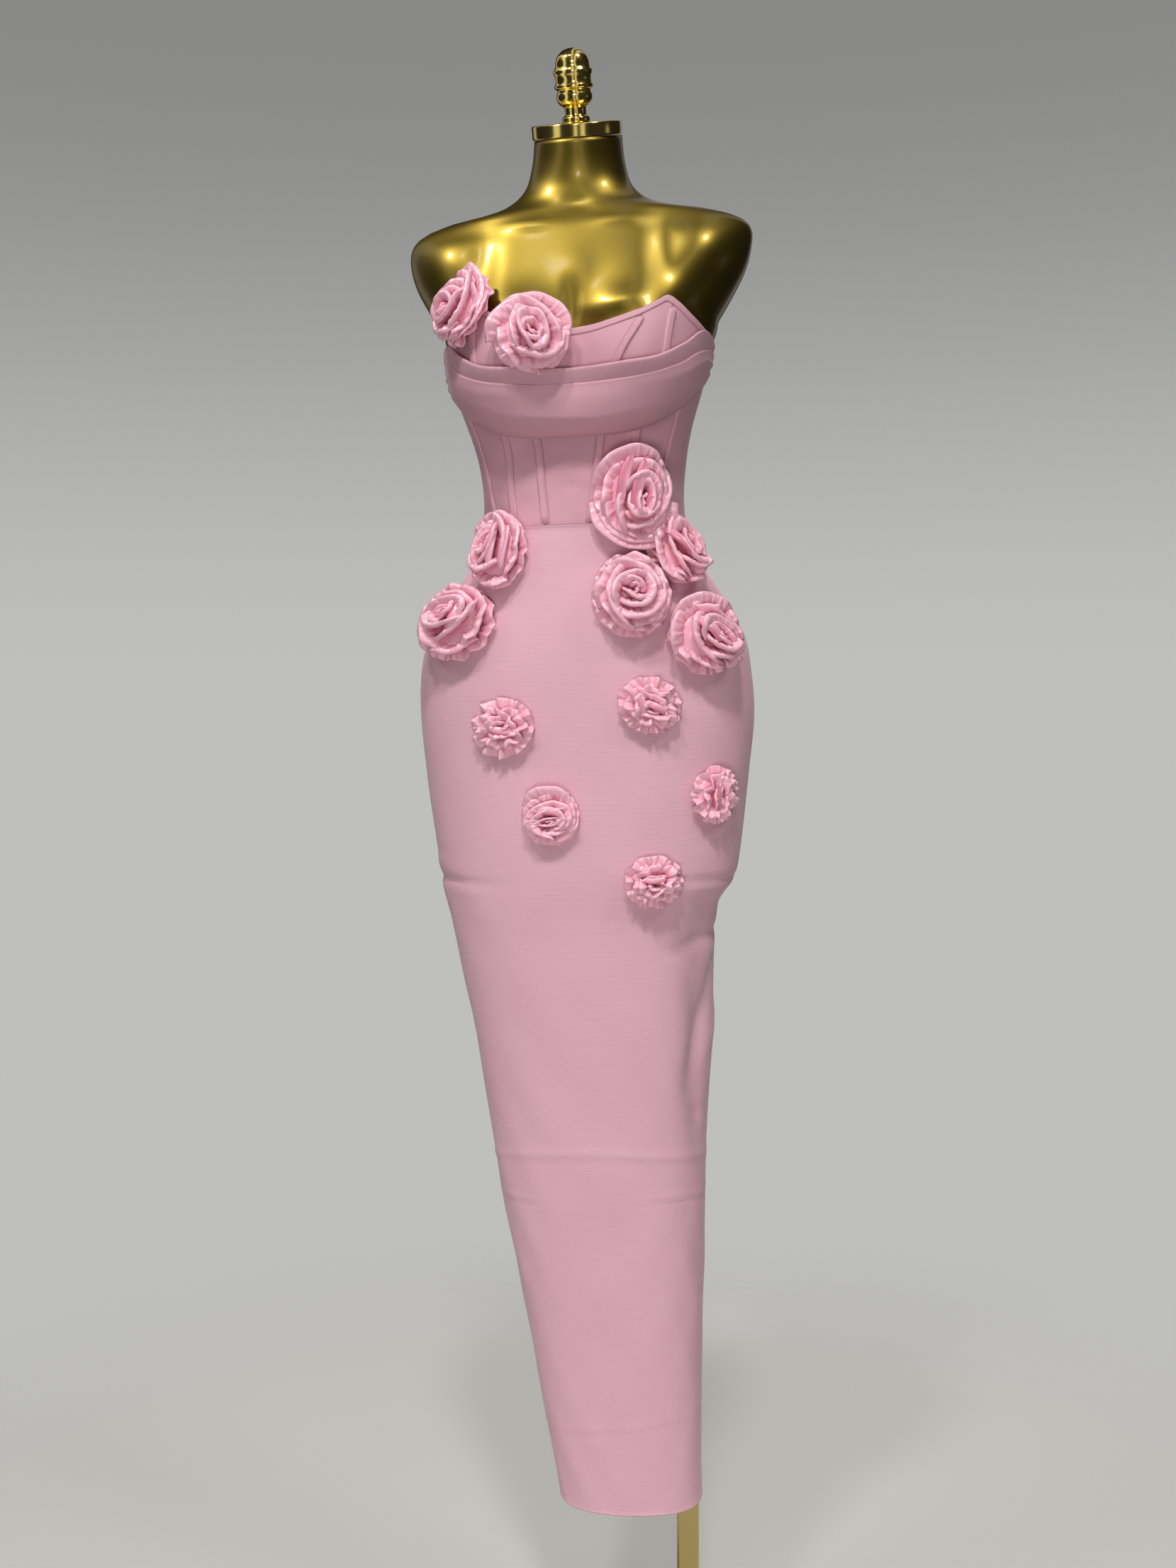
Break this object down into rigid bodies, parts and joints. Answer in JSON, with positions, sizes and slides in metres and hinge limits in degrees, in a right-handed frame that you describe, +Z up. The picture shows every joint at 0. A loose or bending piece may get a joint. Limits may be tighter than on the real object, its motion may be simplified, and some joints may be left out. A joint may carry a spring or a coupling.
{
  "type": "bodycon dress on dress form",
  "caption": "Strapless ankle-length bodycon dress with boned bodice, cowl drape and fabric roses, on a limbless dress form with a post and a round base",
  "frame": {"origin": "on the floor, at the centre of the base's underside", "axes": "+Z up, the dress faces -Y, the wearer's left is +X"},
  "size_m": [0.3471, 0.34, 1.6852],
  "materials": {
    "skirt_knit": "matte bandage knit with very fine ribs round the body",
    "bodice_crepe": "smooth matte crepe",
    "rose_satin": "satin strips, soft sheen",
    "form_gold": "gold metallic paint, satin gloss",
    "gold_plate": "bright gold plating",
    "stand_gold": "satin gold paint"
  },
  "bodies": {
    "dress_on_form": {"bodice_back_left": "bodice_crepe", "bodice_back_right": "bodice_crepe", "bodice_centre_front": "bodice_crepe", "bodice_side_front_left": "bodice_crepe", "bodice_side_front_right": "bodice_crepe", "bodice_side_left": "bodice_crepe", "bodice_side_right": "bodice_crepe", "bodice_underarm_left": "bodice_crepe", "bodice_underarm_right": "bodice_crepe", "channel_centre_left": "bodice_crepe", "channel_centre_right": "bodice_crepe", "channel_inner_left": "bodice_crepe", "channel_inner_right": "bodice_crepe", "channel_outer_left": "bodice_crepe", "channel_outer_right": "bodice_crepe", "cowl_lower_fold": "bodice_crepe", "cowl_upper_fold": "bodice_crepe", "dress_form": "form_gold", "finial": "gold_plate", "form_socket": "stand_gold", "neck_cap": "gold_plate", "neckline_band": "bodice_crepe", "post_flange": "stand_gold", "rose_bust_centre": "rose_satin", "rose_bust_right": "rose_satin", "rose_hip_left_inner": "rose_satin", "rose_hip_left_outer": "rose_satin", "rose_hip_left_upper": "rose_satin", "rose_hip_right_outer": "rose_satin", "rose_hip_right_upper": "rose_satin", "rose_knee_left": "rose_satin", "rose_knee_right": "rose_satin", "rose_side_left": "rose_satin", "rose_thigh_left": "rose_satin", "rose_thigh_right": "rose_satin", "rose_waist_left": "rose_satin", "skirt_back_left": "skirt_knit", "skirt_back_right": "skirt_knit", "skirt_front": "skirt_knit", "stand_base": "stand_gold", "stand_post": "stand_gold", "zip_chain": "bodice_crepe", "zip_slider": "gold_plate"},
    "pull_tab": {"zip_pull": "gold_plate"}
  },
  "joints": [
    {"name": "zip_pull_swing", "type": "hinge", "parent": "dress_on_form", "child": "pull_tab", "pos_m": [0, 0.09523, 1.3565], "axis": [1, 0, 0], "range_deg": [0, 160]}
  ]
}
